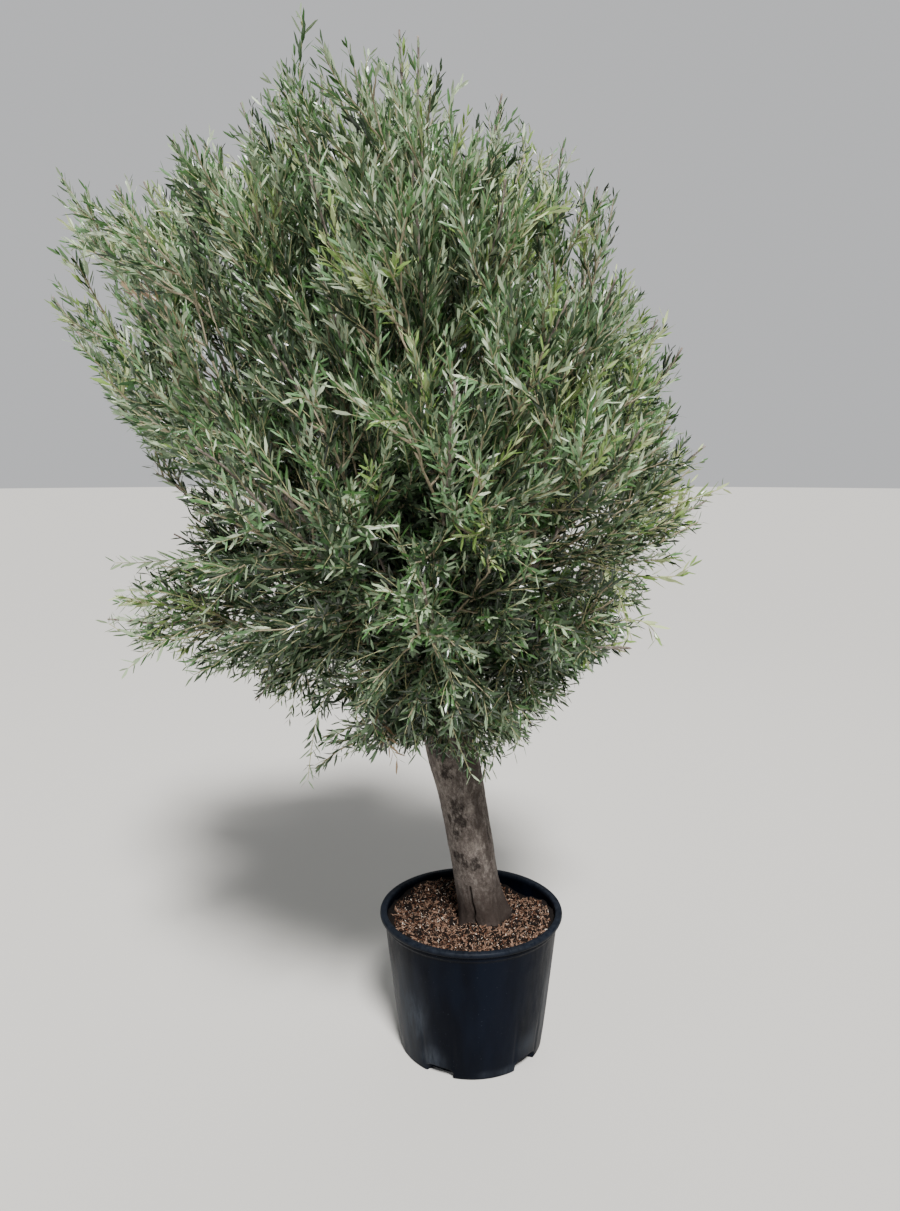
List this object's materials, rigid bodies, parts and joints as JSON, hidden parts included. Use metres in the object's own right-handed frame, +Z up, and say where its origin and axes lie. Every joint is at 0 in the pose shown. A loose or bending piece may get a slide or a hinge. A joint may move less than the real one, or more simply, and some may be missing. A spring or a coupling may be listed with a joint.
{
  "type": "potted olive tree",
  "caption": "Olive tree with a leaning trunk and an open, upright crown of narrow grey-green leaves, in a round black nursery pot with bark mulch.",
  "frame": {"origin": "middle of the pot's flat underside, on the surface it stands on", "axes": "+Z up along the pot's axis, +X to the right in the picture, +Y away from the viewer; the trunk leans towards -X"},
  "size_m": [1.5672, 1.3616, 2.4144],
  "materials": {
    "pot": "black moulded plastic with a dull sheen and scuffs low on the wall",
    "mulch": "loose bark chips over growing mix",
    "bark": "grey-beige bark with dark patches and a long crack low on the trunk",
    "foliage": "narrow leaves, grey-green above and silvery below"
  },
  "bodies": {
    "root": {"pot": "pot", "mulch": "mulch", "trunk": "bark", "bough_left": "bark", "bough_crown_left": "bark", "bough_crown_top": "bark", "bough_right": "bark", "bough_right_upper": "bark", "bough_back_top": "bark", "bough_front_low": "bark", "bough_upper_left": "bark", "bough_left_mid": "bark", "bough_left_low": "bark", "bough_low_left": "bark", "bough_top_left": "bark", "bough_front_far_left": "bark", "bough_front_left": "bark", "bough_front_mid": "bark", "bough_front_top": "bark", "bough_top_right": "bark", "bough_front_right": "bark", "bough_front_right_low": "bark", "bough_right_mid": "bark", "bough_right_low": "bark", "bough_back_left": "bark", "bough_back_right": "bark", "bough_back_low": "bark", "bough_back_left_low": "bark", "foliage_left": "foliage", "foliage_crown_left": "foliage", "foliage_crown_top": "foliage", "foliage_right": "foliage", "foliage_right_upper": "foliage", "foliage_back_top": "foliage", "foliage_front_low": "foliage", "foliage_upper_left": "foliage", "foliage_left_mid": "foliage", "foliage_left_low": "foliage", "foliage_low_left": "foliage", "foliage_top_left": "foliage", "foliage_front_far_left": "foliage", "foliage_front_left": "foliage", "foliage_front_mid": "foliage", "foliage_front_top": "foliage", "foliage_top_right": "foliage", "foliage_front_right": "foliage", "foliage_front_right_low": "foliage", "foliage_right_mid": "foliage", "foliage_right_low": "foliage", "foliage_back_left": "foliage", "foliage_back_right": "foliage", "foliage_back_low": "foliage", "foliage_back_left_low": "foliage", "foliage_hanging_left": "foliage", "foliage_low_right": "foliage", "foliage_trunk_right": "foliage", "foliage_trunk_front": "foliage", "foliage_trunk_back": "foliage"}
  },
  "joints": []
}
